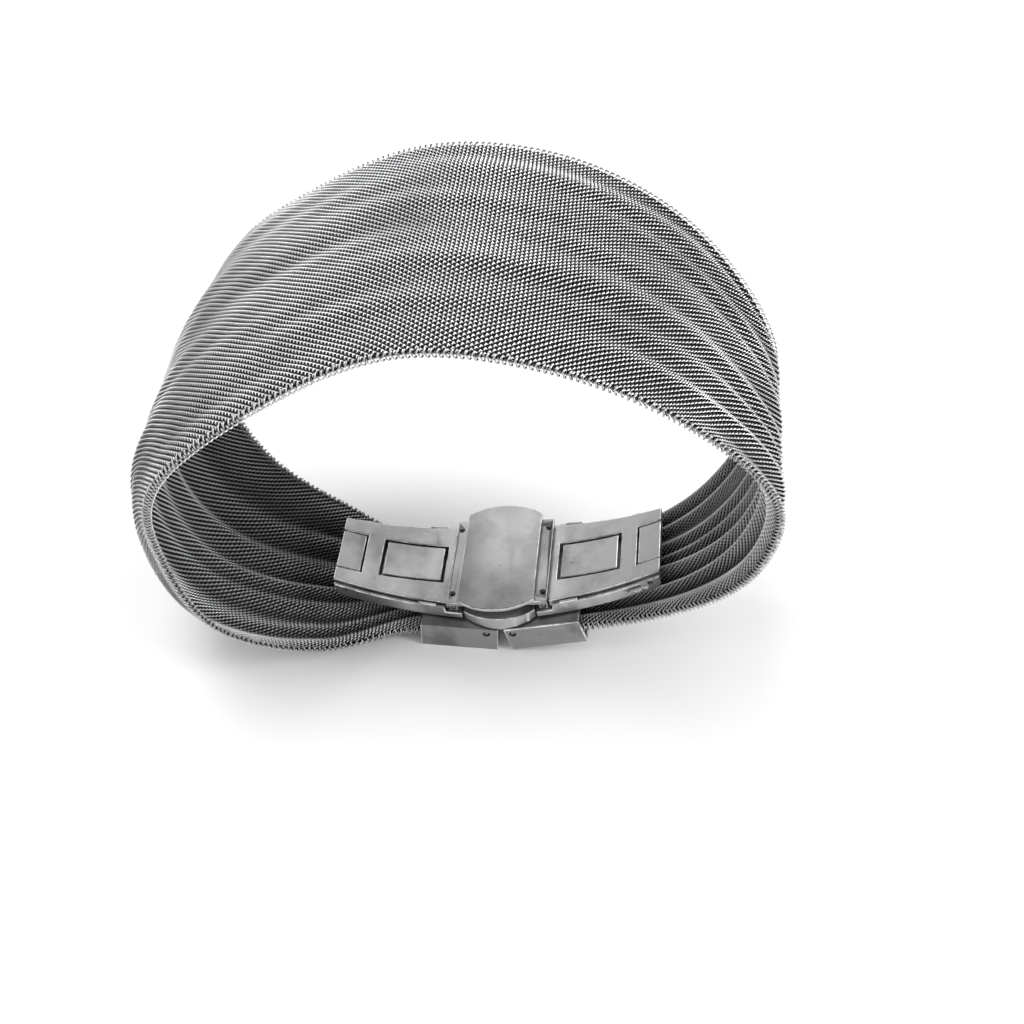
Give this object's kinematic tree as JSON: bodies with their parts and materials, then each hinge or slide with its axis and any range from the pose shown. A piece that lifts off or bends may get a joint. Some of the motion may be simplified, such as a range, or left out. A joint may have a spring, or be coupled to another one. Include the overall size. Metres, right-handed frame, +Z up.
{
  "type": "mesh bracelet",
  "caption": "Closed bracelet: a wide loop of woven wire mesh, gathered into pleats at the two end caps of a push-button butterfly clasp, standing on its clasp.",
  "frame": {"origin": "centre of the flat underside of the left end cap, on the surface that the bracelet stands on", "axes": "+X along the clasp to the right, +Y across the band to its far side, +Z up from the surface"},
  "size_m": [0.0613, 0.0316, 0.05],
  "materials": {
    "woven_wire": "bright round steel wire, woven",
    "clasp_steel": "satin, worn and a little stained",
    "plate_steel": "satin, worn, with soft stains",
    "button_steel": "satin, polished on the front",
    "pin_steel": "plain steel"
  },
  "bodies": {
    "bracelet": {"mesh_band": "woven_wire", "cap_left": "clasp_steel", "cap_right": "clasp_steel", "cap_pin_left": "pin_steel", "cap_pin_right": "pin_steel", "leaf_left": "clasp_steel", "leaf_right": "clasp_steel", "arm_left": "clasp_steel", "arm_right": "clasp_steel", "outer_pin_left": "pin_steel", "outer_pin_right": "pin_steel", "inner_pin_left": "pin_steel", "inner_pin_right": "pin_steel", "carrier": "clasp_steel", "centre_plate": "plate_steel", "rivet_near_left": "pin_steel", "rivet_near_right": "pin_steel", "rivet_far_left": "pin_steel", "rivet_far_right": "pin_steel"},
    "near_button": {"button_near": "button_steel"},
    "far_button": {"button_far": "button_steel"}
  },
  "joints": [
    {"name": "near_button_press", "type": "slide", "parent": "bracelet", "child": "near_button", "axis": [0, 1, 0], "range_m": [0, 0.0005], "stiffness_N_per_m": 1000},
    {"name": "far_button_press", "type": "slide", "parent": "bracelet", "child": "far_button", "axis": [0, -1, 0], "range_m": [0, 0.0005], "stiffness_N_per_m": 1000}
  ]
}
